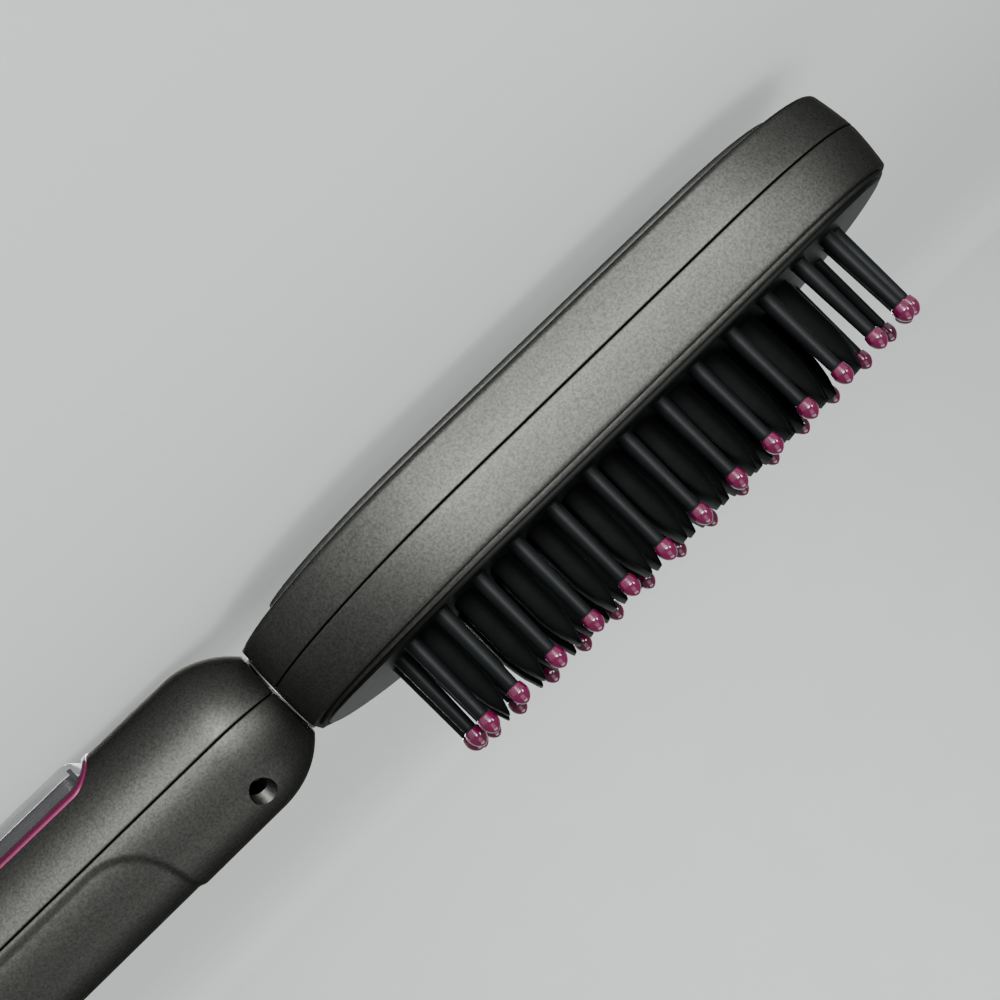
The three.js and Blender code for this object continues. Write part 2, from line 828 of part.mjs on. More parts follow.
function handleFrontShell() {
  const { outer, hollow } = handleTube();
  const bosses = shellScrews.map(({ x, y }) => post(x, y, [0, far], postRadius).intersect(outer));
  const bores = shellScrews.flatMap(({ x, y, seat }) => [
    post(x, y, [seat, far], recessRadius),
    post(x, y, [-past, far], neckShankRadius + fit),
  ]);
  const boardPosts = boardPostX.map((x) =>
    post(x, 0, [boardZ + fit, handleTop - handleWall / 2], boardPostRadius));
  const tube = outer.subtract(hollow[0]);
  const half = cut(joined([tube, ...bosses]).intersect(frontHalf), [...bores, hollow[1], gripCut()]);
  return joined([half, ...boardPosts]);
}

// Neck
function neckTube() {
  const handleSide = handleStart - handleWall - fit;
  const outer = turnedX([
    [-tubeReach, 0],
    [-tubeReach, tubeRadius],
    [handleSide - collarThickness, tubeRadius],
    [handleSide - collarThickness, collarRadius],
    [handleSide, collarRadius],
    [handleSide, tubeRadius],
    [collarStart, tubeRadius],
    [collarStart, collarRadius],
    [collarEnd, collarRadius],
    [collarEnd, tubeRadius],
    [tubeReach, tubeRadius],
    [tubeReach, 0],
  ], 0, 20);
  return outer.subtract(rod(tubeBore, -far, far, 0, 20));
}

function neckRing() {
  const half = ringThickness / 2;
  return rod(ringRadius, -half, half, 0, 28).subtract(rod(tubeHole, -past, past, 0, 20));
}

function controlBezel() {
  const outer = prism(panelOutline(0), -far, bezelLow);
  const inner = prism(panelOutline(bezelWidth), -far, 0);
  return outer.subtract(inner).intersect(rod(handleRadius + bezelProud, -far, far, -handleDrop, 32));
}

function lensOutline(inset) {
  return panelOutline(bezelWidth + fit + inset);
}

function panelLens() {
  const outer = loft([
    { outline: lensOutline(lensEdge), z: lensFace },
    { outline: lensOutline(0), z: lensFace + lensEdge },
    { outline: lensOutline(0), z: boardFace - fit },
  ]);
  const hollow = prism(lensOutline(lensSkirt), lensUnderside, 0);
  const holeRadius = buttonRadius + fit;
  const holes = buttonNames.map((name) => post(buttonX[name], 0, [-far, 0], holeRadius, holeRadius, 16));
  return cut(outer, [hollow, ...holes]);
}

function button(name) {
  const top = lensFace + buttonRecess;
  const flangeTop = lensUnderside + fit;
  const flangeEnd = flangeTop + buttonFlangeThickness;
  return turnedZ([
    [top, 0],
    [top, buttonRadius - buttonEdge],
    [top + buttonEdge, buttonRadius],
    [flangeTop, buttonRadius],
    [flangeTop, buttonRadius + buttonFlange],
    [flangeEnd, buttonRadius + buttonFlange],
    [flangeEnd, stemRadius],
    [flangeEnd + stemLength, stemRadius],
    [flangeEnd + stemLength, 0],
  ], buttonX[name], 0, 16);
}

function tactileSwitch(name) {
  const plungerTop = lensUnderside + fit + buttonFlangeThickness + stemLength + buttonTravel + fit;
  const half = switchSize / 2;
  const x = buttonX[name];
  const body = box([x - half, x + half], [-half, half], [plungerTop + switchPlunger, boardFace - fit]);
  return body.add(post(x, 0, [plungerTop, boardFace - fit], plungerRadius));
}

function displayModule() {
  return box(
    [displayFront - displayLength, displayFront],
    [-displayWidth / 2, displayWidth / 2],
    [lensUnderside + fit, boardFace - fit],
  );
}

function circuitBoard() {
  return prism(lensOutline(0), boardFace, boardZ);
}

function boardBlock(x, [length, width, height]) {
  const low = boardZ + fit;
  return box([x - length / 2, x + length / 2], [-width / 2, width / 2], [low, low + height]);
}

function triac() {
  const [length, width, height] = triacSize;
  const body = boardBlock(triacX, triacSize);
  const low = boardZ + fit;
  const tab = box(
    [triacX - length / 2 - triacTabLength, triacX - length / 2 + weld],
    [-width / 2, width / 2],
    [low + height - triacTab, low + height],
  );
  return body.add(tab);
}

// Lead along a smooth curve through the points given, with flat ends
function lead(points, steps = 20, sides = 6) {
  const curve = new THREE.CatmullRomCurve3(points.map(([x, y, z]) => new THREE.Vector3(x, y, z)));
  const section = new THREE.Shape();
  for (let i = 0; i < sides; i += 1) {
    const angle = (2 * Math.PI * i) / sides;
    const x = leadRadius * Math.cos(angle);
    const y = leadRadius * Math.sin(angle);
    if (i === 0) section.moveTo(x, y);
    else section.lineTo(x, y);
  }
  return solid(new THREE.ExtrudeGeometry(section, { steps, extrudePath: curve, bevelEnabled: false }));
}

const leadStartX = lensFront - leadInset;
const heaterEnd = stackX - heaterLength / 2 - fit;

function leadRoute(startY, turn, ending) {
  const startZ = boardZ + fit + leadRadius;
  const y = leadSpacing * Math.cos(turn);
  const z = leadSpacing * Math.sin(turn);
  return lead([
    [leadStartX, startY, startZ],
    [leadStartX + leadBend, startY, startZ],
    [-tubeReach - leadBend, y, z - leadRadius],
    [leadStraight - tubeReach, y, z],
    [0, y, z],
    [tubeReach - leadStraight, y, z],
    ...ending,
  ]);
}

function heaterLead(side) {
  const y = (side * heaterWidth) / 4;
  return leadRoute(side * leadSplit, Math.PI / 2 - (side * 2 * Math.PI) / 3, [
    [heaterEnd - leadBend, y, heaterZ - leadRadius],
    [heaterEnd, y, heaterZ],
  ]);
}

function sensorLead() {
  const y = sensorY - sensorWidth / 2 + leadRadius + leadGap;
  return leadRoute(0, Math.PI / 2, [
    [plateBossX[0] - leadBend, y - leadRadius, heaterZ],
    [plateBossX[0], y, heaterZ],
    [sensorX - fit, y, heaterZ],
  ]);
}

// End cap and cord gland
const capFace = -handleLength - fit;
const capEnd = capFace - capLength;
const glandHole = glandRadius + fit;
const flangeRadius = glandRadius + glandFlange;
const flangeSeat = capFace + glandSeatDepth;

function endCap() {
  const spigotRadius = handleRadius - handleWall - fit;
  const outer = turnedX([
    [capEnd, 0],
    [capEnd, handleRadius - capEdge],
    [capEnd + capEdge, handleRadius],
    [capFace, handleRadius],
    [capFace, spigotRadius],
    [capFace + spigotLength, spigotRadius],
    [capFace + spigotLength, 0],
  ], -handleDrop, 28);
  const bore = rod(glandHole, -far, far, -handleDrop, 20);
  const pocket = rod(flangeRadius + fit, flangeSeat, far, -handleDrop, 20);
  return cut(outer, [bore, pocket]);
}

const flangeBack = flangeSeat + fit;
const retainerBack = flangeBack + glandFlangeThickness + fit;

function cordSwivel() {
  const outer = turnedX([
    [capEnd - glandReach, 0],
    [capEnd - glandReach, glandRadius - glandEdge],
    [capEnd - glandReach + glandEdge, glandRadius],
    [flangeBack, glandRadius],
    [flangeBack, flangeRadius],
    [flangeBack + glandFlangeThickness, flangeRadius],
    [flangeBack + glandFlangeThickness, glandRadius],
    [retainerBack + retainerThickness, glandRadius],
    [retainerBack + retainerThickness, 0],
  ], -handleDrop, 20);
  return outer.subtract(rod(glandBore, -far, far, -handleDrop, 20));
}

function swivelRetainer() {
  const ring = rod(flangeRadius, retainerBack, retainerBack + retainerThickness, -handleDrop, 20);
  return ring.subtract(rod(glandHole, -far, far, -handleDrop, 20));
}

const brush = new THREE.Group();

function place(name, shape, material) {
  brush.add(meshOf(name, shape, material));
}

place('head_back_shell', headBackShell(), graphite);
place('head_front_shell', headFrontShell(), graphite);
place('back_panel', backPanel(), graphite);
place('bristle_frame', bristleFrame(), black);
place('tip_insert', tipInsert(), magenta);
place('heating_plate', heatingPlate(), coatedMetal);
place('mica_sheet', micaSheet(micaTop - micaThickness), mica);
place('heater_element', stackSheet(heaterLength, heaterWidth, heaterBottom, heaterTop), ceramic);
place('insulator_sheet', micaSheet(insulatorBottom), mica);
place('element_clamp', elementClamp(), steel);
plateScrewPlaces.forEach(([x, y], i) => {
  place(`clamp_screw_${i + 1}`, screw(x, y, clampBottom, plateBoreEnd - fit), steel);
});
place('thermistor', thermistor(), ceramic);
place('thermal_fuse', thermalFuse(), steel);
place('heat_shield', heatShield(), mica);
headScrewPlaces.forEach(([x, y], i) => {
  const seat = counterboreDepth - headBackDepth;
  place(`head_screw_${i + 1}`, screw(x, y, seat, postTop + screwLength - screwTipGap), steel);
});
place('neck_tube', neckTube(), steel);
place('neck_ring', neckRing(), steel);
place('handle_back_shell', handleBackShell(), graphite);
place('handle_front_shell', handleFrontShell(), graphite);
neckScrewPlaces.forEach(([x, y], i) => {
  const shape = screwFromAbove(x, y, neckSeatZ, neckTip, neckShankRadius, neckHeadRadius);
  place(['neck_screw_left', 'neck_screw_right'][i], shape, steel);
});
const tailScrew = screwFromAbove(tailScrewX, 0, tailSeatZ, tailTip, neckShankRadius, neckHeadRadius);
place('tail_screw', tailScrew, steel);
place('control_bezel', controlBezel(), magenta);
place('panel_lens', panelLens(), clear);
place('display_module', displayModule(), black);
place('circuit_board', circuitBoard(), boardGreen);
for (const name of buttonNames) {
  place(`${name}_button`, button(name), clear);
  place(`${name}_switch`, tactileSwitch(name), black);
}
place('mains_capacitor', boardBlock(capacitorX, capacitorSize), magenta);
place('triac', triac(), black);
place('heater_lead_live', heaterLead(-1), redLead);
place('heater_lead_neutral', heaterLead(1), whiteLead);
place('sensor_lead', sensorLead(), whiteLead);
place('end_cap', endCap(), graphite);
place('swivel_retainer', swivelRetainer(), steel);
place('cord_swivel', cordSwivel(), black);

// Lying on its back: the clear panel is the lowest point
brush.position.set(-(headLength + capEnd - glandReach) / 2, 0, -lensFace);

export default brush;
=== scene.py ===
import math

import bmesh
import bpy
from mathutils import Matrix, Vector


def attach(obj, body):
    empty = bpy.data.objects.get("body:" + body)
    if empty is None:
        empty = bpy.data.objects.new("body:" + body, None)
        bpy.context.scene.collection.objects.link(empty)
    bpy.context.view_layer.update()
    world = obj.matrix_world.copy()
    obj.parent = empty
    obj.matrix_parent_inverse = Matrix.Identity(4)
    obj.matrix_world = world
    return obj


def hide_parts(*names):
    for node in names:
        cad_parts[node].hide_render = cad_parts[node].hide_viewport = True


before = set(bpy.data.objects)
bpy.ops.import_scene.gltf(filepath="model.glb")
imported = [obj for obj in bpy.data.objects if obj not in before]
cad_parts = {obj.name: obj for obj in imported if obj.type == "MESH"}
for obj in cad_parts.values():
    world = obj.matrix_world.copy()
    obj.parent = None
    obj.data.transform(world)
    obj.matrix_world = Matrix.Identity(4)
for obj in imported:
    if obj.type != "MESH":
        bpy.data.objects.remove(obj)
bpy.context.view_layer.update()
scene = bpy.context.scene

# Sizes in millimetres, measured from the plane where the head meets the handle and from the casing seam
SHIFT_X = 11.8
SHIFT_Z = 15.3

HEAD_LENGTH = 135.7
HEAD_HALF_WIDTH = 30.5
TIP_ROUND = 36
TIP_FULLNESS = 2.3
NECK_ROUND = 46
NECK_HALF_WIDTH = 9.5
HEAD_START = 0.5
BACK_DEPTH = 8.7
BACK_CORNER = 1.3
BACK_CORNER_Z = -7.4
FRONT_DEPTH = 9.2
RIM_INSET = 1.0
RIM_CROWN = 0.9
FRAME_CROWN = 1.9
FRAME_INSET = 3.4
FRAME_NECK_INSET = 1.9
FRAME_TOP = 11.0
FRAME_EDGE_Z = 7.4
FRAME_UNDERSIDE = 9.2
SEAM = 0.14
COVER_INSET = 8.2
COVER_START = 8
COVER_END_INSET = 7.5

PIN_PITCH = 8
PIN_COLUMNS = 11
FIRST_PIN_X = 27.3
PIN_ROW_Y = 20
PIN_NECK_ROUND = 10
PIN_TIP_ROUND = 13.1

FIN_THICKNESS = 3.9
FIN_LENGTH = 8
FIN_SHIFT = 0.2
SIDE_FIN_SHIFT = -3.2
SIDE_FIN_Y = 10
SLOT_GAP = 0.12
SLOT_Z = (7.8, 12)
PLATE_X = (21.75, 109.85)
PLATE_Y = (-14.4, 14.4)
PLATE_Z = (6.2, 8.2)

HANDLE_RADIUS = 14.4
HANDLE_DROP = 0.6
HANDLE_START = -0.5
HANDLE_LENGTH = 150
HANDLE_WALL = 1.8
HANDLE_LEAST_BORE = 5.5
HANDLE_END_ROUND = 0.12
OUTSIDE_HANDLE = 20
DOME_LENGTH = 12.5
DOME_NECK_RADIUS = 8.1
DOME_NECK_DROP = 0.3
GRIP_FRONT = -30.5
GRIP_BACK = -141
GRIP_SIDE = 1.4
GRIP_ROUND = 9.6
GRIP_DEPTH = 0.45
GRIP_SLOPE = 1.4

BEZEL_FRONT = -29.4
BEZEL_BACK = -98
BEZEL_HALF_WIDTH = 11.1
BEZEL_ROUND = 4.8
BEZEL_ROOT = -1.4
BEZEL_WALL = 1.86
BEZEL_FLOOR = -8.8
BEZEL_GAP = 0.08
LENS_FACE = -15.3
LENS_FLOOR = -9.7
BUTTONS = {"minus": -67, "power": -77.5, "plus": -88}
BUTTON_HOLE = 3.35
SYMBOL_FLOOR = -14.7
SYMBOL_HALF_LINE = 0.18
SYMBOL_HALF_SIZE = 1.4

# Screws that show: place, height of the seat and the CAD node
SCREWS = {
    "screw_left": (-12.2, 9.0, 5.0, "neck_screw_left"),
    "screw_right": (-12.2, -9.0, 5.0, "neck_screw_right"),
    "screw_tail": (-136, 0, 7.0, "tail_screw"),
}
RECESS_RADIUS = 2.3

# Points of a mesh nearer than this become one, in metres
MERGE_DISTANCE = 1e-7

# Window in the panel's print, in metres
WINDOW_X = -0.0362
WINDOW_HALF_LENGTH = 0.0103
WINDOW_HALF_WIDTH = 0.0055

# Floor, in metres
FLOOR_HALF_WIDTH = 6
FLOOR_FRONT = 6.0
FLOOR_BACK = -1.7
SWEEP_RADIUS = 0.8
WALL_TOP = 3.5


def row(x, y, z):
    """Millimetres in the script's own measure as metres in the frame."""
    return Vector(((x + SHIFT_X) / 1000, y / 1000, (z + SHIFT_Z) / 1000))


def measured(place):
    """The way back from row."""
    return place.x * 1000 - SHIFT_X, place.y * 1000, place.z * 1000 - SHIFT_Z


# Camera
camera_data = bpy.data.cameras.new("camera")
camera_data.sensor_width = 36
camera_data.lens = 62.29
camera_data.clip_start = 0.005
camera_data.clip_end = 100
camera = bpy.data.objects.new("camera", camera_data)
camera.location = (0.02816, 0.28801, 0.05219)
camera.rotation_euler = [math.radians(a) for a in (-80.4213, -44.5761, -0.3759)]
scene.collection.objects.link(camera)
scene.camera = camera


# Materials
class Shader:
    """A principled material and the nodes that vary it over the surface."""

    def __init__(self, name, **values):
        self.material = bpy.data.materials.new(name)
        self.material.use_nodes = True
        self.tree = self.material.node_tree
        self.principled = self.tree.nodes["Principled BSDF"]
        for socket, value in values.items():
            self.principled.inputs[socket.replace("_", " ")].default_value = value
        self.coordinates = self.tree.nodes.new("ShaderNodeTexCoord").outputs["Object"]

    def node(self, kind, inputs=(), **settings):
        made = self.tree.nodes.new(kind)
        for name, value in settings.items():
            setattr(made, name, value)
        for socket, value in dict(inputs).items():
            if isinstance(value, bpy.types.NodeSocket):
                self.tree.links.new(value, made.inputs[socket])
            else:
                made.inputs[socket].default_value = value
        return made

    def calculated(self, operation, *values):
        return self.node("ShaderNodeMath", enumerate(values), operation=operation).outputs[0]

    def noise(self, scale, detail):
        inputs = {"Vector": self.coordinates, "Scale": scale, "Detail": detail}
        return self.node("ShaderNodeTexNoise", inputs).outputs["Fac"]

    def cells(self, scale):
        made = self.node("ShaderNodeTexVoronoi", {"Vector": self.coordinates, "Scale": scale})
        return made.outputs["Color"]

    def ranged(self, value, low, high):
        return self.node("ShaderNodeMapRange", {"Value": value, "To Min": low, "To Max": high}).outputs[0]

    def ramp(self, value, dark, light, start=0.3, end=0.7):
        made = self.node("ShaderNodeValToRGB", {"Fac": value})
        made.color_ramp.elements[0].position = start
        made.color_ramp.elements[0].color = (*dark, 1)
        made.color_ramp.elements[1].position = end
        made.color_ramp.elements[1].color = (*light, 1)
        return made.outputs["Color"]

    def link(self, value, socket):
        self.tree.links.new(value, self.principled.inputs[socket])
        return self

    def bump(self, height, distance, strength):
        inputs = {"Height": height, "Distance": distance, "Strength": strength}
        return self.link(self.node("ShaderNodeBump", inputs).outputs[0], "Normal")


def grey(value):
    return (value, value, value)


def paint(name, shade):
    """Satin graphite paint with fine bright flakes."""
    made = Shader(name, Metallic=1.0, Specular_Tint=(0.25, 0.25, 0.24, 1))
    flakes = made.node("ShaderNodeSeparateColor", {"Color": made.cells(4200)}).outputs[0]
    cloudy = made.noise(2300, 3)
    mixed = made.calculated("MULTIPLY_ADD", flakes, 0.25, cloudy)
    dark = [c * 0.74 for c in shade]
    light = [c * 1.27 for c in shade]
    made.link(made.ramp(mixed, dark, light, 0.4, 0.85), "Base Color")
    made.link(made.ranged(made.noise(1400, 2), 0.46, 0.53), "Roughness")
    return made.bump(made.noise(3400, 2), 0.00003, 0.25).material


def satin(name, color, roughness, grain=2500, spread=0.15, height=0.00002, **values):
    """Moulded plastic with a fine spark-eroded grain."""
    made = Shader(name, **values)
    shade = [c * (1 - spread) for c in color]
    tint = [min(1, c * (1 + spread)) for c in color]
    made.link(made.ramp(made.noise(160, 5), shade, tint), "Base Color")
    made.link(made.ranged(made.noise(700, 3), roughness * 0.88, roughness * 1.12), "Roughness")
    return made.bump(made.noise(grain, 2), height, 0.5).material


graphite = paint("graphite_paint", (0.043, 0.0435, 0.0405))
# Lighter copy of the graphite paint for the cover: a painted highlight for the light the raised cover catches along
# the back of the head.
graphite_painted_highlight = paint("graphite_paint_cover_painted_highlight", (0.06, 0.061, 0.0585))
pin_black = satin("pin_black", (0.003, 0.0036, 0.0038), 0.47, Specular_IOR_Level=0.07)
pad_black = satin(
    "pad_black", (0.002, 0.0024, 0.0024), 0.5, spread=0.2, height=0.00004, Specular_IOR_Level=0.06,
)
fin_black = satin("fin_coating", (0.001, 0.0012, 0.0012), 0.42, Specular_IOR_Level=0.01)
# Lighter, glossier copy of the fin coating for the fins' rounded corners: a painted highlight along the fin edges.
fin_edge_painted_highlight = satin("fin_edge_painted_highlight", (0.003, 0.0036, 0.0036), 0.3, Specular_IOR_Level=0.25)
tip_magenta = satin(
    "tip_magenta", (0.055, 0.0012, 0.019), 0.16, spread=0.06, Coat_Weight=0.35, Coat_Roughness=0.05,
)
bezel_magenta = satin("bezel_magenta", (0.085, 0.0035, 0.032), 0.32, spread=0.05, Metallic=0.3)
bright_metal = satin("bright_metal", (0.11, 0.11, 0.112), 0.5, spread=0.03, height=0.000005, Metallic=1.0)
steel = satin("plain_steel", (0.45, 0.45, 0.46), 0.35, spread=0.1, Metallic=1.0)
dark_plastic = satin("dark_plastic", (0.02, 0.02, 0.021), 0.4)
cap_silver = satin(
    "button_silver", (0.2, 0.2, 0.205), 0.25, spread=0.03, height=0.000005, Coat_Weight=0.4,
)
mica_sheet = satin("pressed_mica", (0.5, 0.44, 0.32), 0.6, grain=900, spread=0.25)
ceramic = satin("ceramic", (0.8, 0.77, 0.7), 0.5)
board_green = satin("solder_mask", (0.012, 0.11, 0.05), 0.35)
red_case = satin("red_case", (0.3, 0.04, 0.03), 0.4)
white_rubber = satin("white_insulation", (0.75, 0.72, 0.66), 0.5)
red_rubber = satin("red_insulation", (0.45, 0.03, 0.02), 0.5)


def clear_plastic():
    """See-through by alpha, because refraction leaves noise in a short render."""
    made = Shader("clear_panel", Alpha=0.25, IOR=1.49, Specular_IOR_Level=0.1)
    made.link(made.ramp(made.noise(60, 3), grey(0.028), grey(0.034)), "Base Color")
    made.link(made.ranged(made.noise(300, 2), 0.05, 0.08), "Roughness")
    return made.material


def panel_print():
    """Silver print with a dark window over the display."""
    made = Shader("panel_print", Metallic=0.7)
    place = made.node("ShaderNodeSeparateXYZ", {"Vector": made.coordinates})
    along = made.calculated("COMPARE", place.outputs["X"], WINDOW_X, WINDOW_HALF_LENGTH)
    across = made.calculated("COMPARE", place.outputs["Y"], 0.0, WINDOW_HALF_WIDTH)
    inside = made.calculated("MULTIPLY", along, across)
    made.link(made.ramp(inside, (0.2, 0.2, 0.204), (0.006, 0.006, 0.008), 0.4, 0.6), "Base Color")
    made.link(made.ranged(made.noise(700, 3), 0.3, 0.38), "Roughness")
    return made.material


clear = clear_plastic()
silver_print = panel_print()
panel_edge = satin("panel_edge", (0.02, 0.02, 0.022), 0.5, Specular_IOR_Level=0.12)
# Darker copy of the bezel magenta: painted shade for the bezel's top face and inner slope.
bezel_painted_shade = satin("bezel_painted_shade", (0.036, 0.0012, 0.014), 0.4, Specular_IOR_Level=0.12)


# Meshes
def mesh_of(name, points, faces, merged):
    """Mesh of points in millimetres, with its normals turned outward."""
    mesh = bpy.data.meshes.new(name)
    mesh.from_pydata([row(*p) for p in points], [], faces)
    bm = bmesh.new()
    bm.from_mesh(mesh)
    if merged:
        bmesh.ops.remove_doubles(bm, verts=bm.verts, dist=MERGE_DISTANCE)
    bmesh.ops.recalc_face_normals(bm, faces=bm.faces)
    bm.to_mesh(mesh)
    bm.free()
    return mesh


def smoothed(mesh, degrees):
    """Smooth shading, with edges sharper than the angle kept sharp."""
    mesh.shade_smooth()
    mesh.set_sharp_from_angle(angle=math.radians(degrees))


def make(name, points, faces, material, body, replaced, slot, smooth=30):
    """Piece that rides on a body and stands for the CAD nodes that it replaces."""
    mesh = mesh_of(name, points, faces, True)
    smoothed(mesh, smooth)
    made = bpy.data.objects.new(name, mesh)
    scene.collection.objects.link(made)
    mesh.materials.append(material)
    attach(made, body)
    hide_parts(*replaced)
    return made


def coloured(piece, material, chosen):
    """Gives a further material to the piece's chosen polygons."""
    piece.data.materials.append(material)
    index = len(piece.data.materials) - 1
    for polygon in piece.data.polygons:
        if chosen(polygon):
            polygon.material_index = index


def loft(rings, cap_start=False, cap_end=False):
    """Points and faces of a skin through closed rings that have as many points each."""
    count = len(rings[0])
    points = [p for ring in rings for p in ring]
    faces = []
    for i in range(len(rings) - 1):
        for k in range(count):
            n = (k + 1) % count
            a, b = i * count, (i + 1) * count
            faces.append((a + k, a + n, b + n, b + k))
    if cap_start:
        faces.append(tuple(range(count)))
    if cap_end:
        start = (len(rings) - 1) * count
        faces.append(tuple(range(start, start + count)))
    return points, faces


def joined(parts):
    """Points and faces of several parts as one."""
    points, faces = [], []
    for more_points, more_faces in parts:
        start = len(points)
        points += more_points
        faces += [tuple(start + i for i in face) for face in more_faces]
    return points, faces


def turned(profile, place, sides, closed=True):
    """Skin turned from (distance, radius) pairs, where place puts (distance, across, up) into the frame."""
    rings = []
    for distance, radius in profile:
        angles = [2 * math.pi * k / sides for k in range(sides)]
        rings.append([place(distance, radius * math.cos(a), radius * math.sin(a)) for a in angles])
    return loft(rings, closed, closed)


def upright(x, y):
    """Place for a skin that is turned about a vertical axis."""
    return lambda distance, across, up: (x + across, y + up, distance)


def lengthwise(z):
    """Place for a skin that is turned about a line along the handle."""
    return lambda distance, across, up: (distance, across, z + up)


def cut(piece, cutters, smooth=None):
    """Takes the closed cutters out of the piece, one after the other."""
    for points, faces in cutters:
        cutter_mesh = mesh_of("cutter", points, faces, False)
        cutter = bpy.data.objects.new("cutter", cutter_mesh)
        scene.collection.objects.link(cutter)
        modifier = piece.modifiers.new("cut", "BOOLEAN")
        modifier.operation = "DIFFERENCE"
        modifier.solver = "EXACT"
        modifier.object = cutter
        bpy.context.view_layer.update()
        seen = piece.evaluated_get(bpy.context.evaluated_depsgraph_get())
        rest, old = bpy.data.meshes.new_from_object(seen), piece.data
        piece.modifiers.clear()
        piece.data = rest
        bpy.data.meshes.remove(old)
        bpy.data.objects.remove(cutter)
        bpy.data.meshes.remove(cutter_mesh)
    if smooth:
        smoothed(piece.data, smooth)


# Head outlines
TIP_CENTRE = HEAD_LENGTH - TIP_ROUND
NECK_CENTRE = NECK_ROUND * math.sin(math.acos(NECK_HALF_WIDTH / HEAD_HALF_WIDTH))
HEAD_MIDDLE = (HEAD_START + HEAD_LENGTH) / 2


def fall(crown, x):
    """How far a rim with this crown has sunk at x: nothing amid the head, the crown at its ends."""
    return crown * (abs(x - HEAD_MIDDLE) / (HEAD_LENGTH - HEAD_MIDDLE)) ** 4


def fuller(value):
    """Sine or cosine of an ellipse, pushed out to the fuller curve of the tip."""
    return math.copysign(abs(value) ** (2 / TIP_FULLNESS), value)


def plan(half_width, neck_length, tip_length, start_x, neck=34, straight=40, tip=60):
    """Outline of the head from above: an elliptic neck, straight sides and a full round tip."""
    turn = math.asin(min(1, (NECK_CENTRE - start_x) / neck_length))
    side = []
    for i in range(neck, 0, -1):
        t = turn * i / neck
        side.append((NECK_CENTRE - neck_length * math.sin(t), half_width * math.cos(t)))
    for i in range(straight):
        side.append((NECK_CENTRE + (TIP_CENTRE - NECK_CENTRE) * i / straight, half_width))
    points = [(x, -y) for x, y in side]
    for i in range(tip + 1):
        t = -math.pi / 2 + math.pi * i / tip
        points.append((TIP_CENTRE + tip_length * fuller(math.cos(t)), half_width * fuller(math.sin(t))))
    return points + side[::-1]


def head_plan(inset, start=HEAD_START, end_inset=None):
    """Outline of the casing, moved in, by another amount at the ends if one is given."""
    end = inset if end_inset is None else end_inset
    return plan(HEAD_HALF_WIDTH - inset, NECK_ROUND - end, TIP_ROUND - end, start)


def frame_plan(inset):
    """Outline of the frame that carries the pins, moved in."""
    start = HEAD_START + FRAME_NECK_INSET + inset
    return plan(HEAD_HALF_WIDTH - FRAME_INSET - inset, NECK_CENTRE - start, TIP_ROUND - FRAME_INSET - inset, start)


def lean(z):
    """How far the side wall leans in at a height."""
    return RIM_INSET * (abs(z) / FRONT_DEPTH) ** 1.5


def ring_at(outline, height, crown=0.0):
    """The outline at a height, sunk toward the ends of the head by its crown."""
    return [(x, y, height - fall(crown, x)) for x, y in outline]


# Head casing, back half
back_rings = [ring_at(head_plan(2.0, HEAD_START + 0.4), -SEAM - 0.8)]
back_rings.append(ring_at(head_plan(1.0, HEAD_START + 0.2), -SEAM))
for inset, z in ((0.2, -SEAM), (0.07, -SEAM - 0.03), (0.02, -SEAM - 0.12)):
    back_rings.append(ring_at(head_plan(inset), z))
for z in (-0.4, -1.5, -3, -4.5, -6, -7):
    back_rings.append(ring_at(head_plan(lean(z)), z))
for degrees in (0, 15, 30, 45, 60, 75, 90):
    a = math.radians(degrees)
    inset = lean(BACK_CORNER_Z) + BACK_CORNER * (1 - math.cos(a))
    back_rings.append(ring_at(head_plan(inset), BACK_CORNER_Z - BACK_CORNER * math.sin(a)))
for inset in (3.2, 5.5, 8, 12):
    back_rings.append(ring_at(head_plan(inset, HEAD_START + inset * 0.6), -BACK_DEPTH))
make("head_back_casing", *loft(back_rings, True, True), graphite, "brush", ["head_back_shell"], slot="graphite")

# Head casing, front half, with a raised inner band round the frame and a shadow gap under the band
front_rings = [ring_at(head_plan(2.0, HEAD_START + 0.4), SEAM + 0.8)]
front_rings.append(ring_at(head_plan(1.0, HEAD_START + 0.2), SEAM))
for inset, z in ((0.2, SEAM), (0.07, SEAM + 0.03), (0.02, SEAM + 0.12)):
    front_rings.append(ring_at(head_plan(inset), z))
for z in (0.5, 2, 3.5, 5, 6.5, 7.6, 8.4):
    front_rings.append(ring_at(head_plan(lean(z)), z, RIM_CROWN * z / FRONT_DEPTH))
for inset, z in ((0.97, 8.85), (1.05, 9.04), (1.2, 9.16), (1.4, 9.2), (1.75, 9.2)):
    front_rings.append(ring_at(head_plan(inset), z, RIM_CROWN))


def band_ring(inset, rise):
    """Ring of the inner band, which is lower at the ends of the head."""
    ring = []
    for x, y in frame_plan(inset):
        low = FRONT_DEPTH - fall(RIM_CROWN, x)
        ring.append((x, y, low + rise * (1 - 0.4 * fall(1, x))))
    return ring


BAND_PROFILE = [
    (-0.95, 0.0), (-0.95, 0.2), (-1.3, 0.22), (-1.36, 0.27), (-1.3, 0.55), (-1.15, 0.8), (-0.98, 0.9),
    (-0.8, 0.93), (-0.3, 0.93), (-0.16, 0.88), (-0.12, 0.78), (-0.12, -1.5),
]
for inset, rise in BAND_PROFILE:
    front_rings.append(band_ring(inset, rise))
make("head_front_casing", *loft(front_rings), graphite, "brush", ["head_front_shell"], slot="graphite")

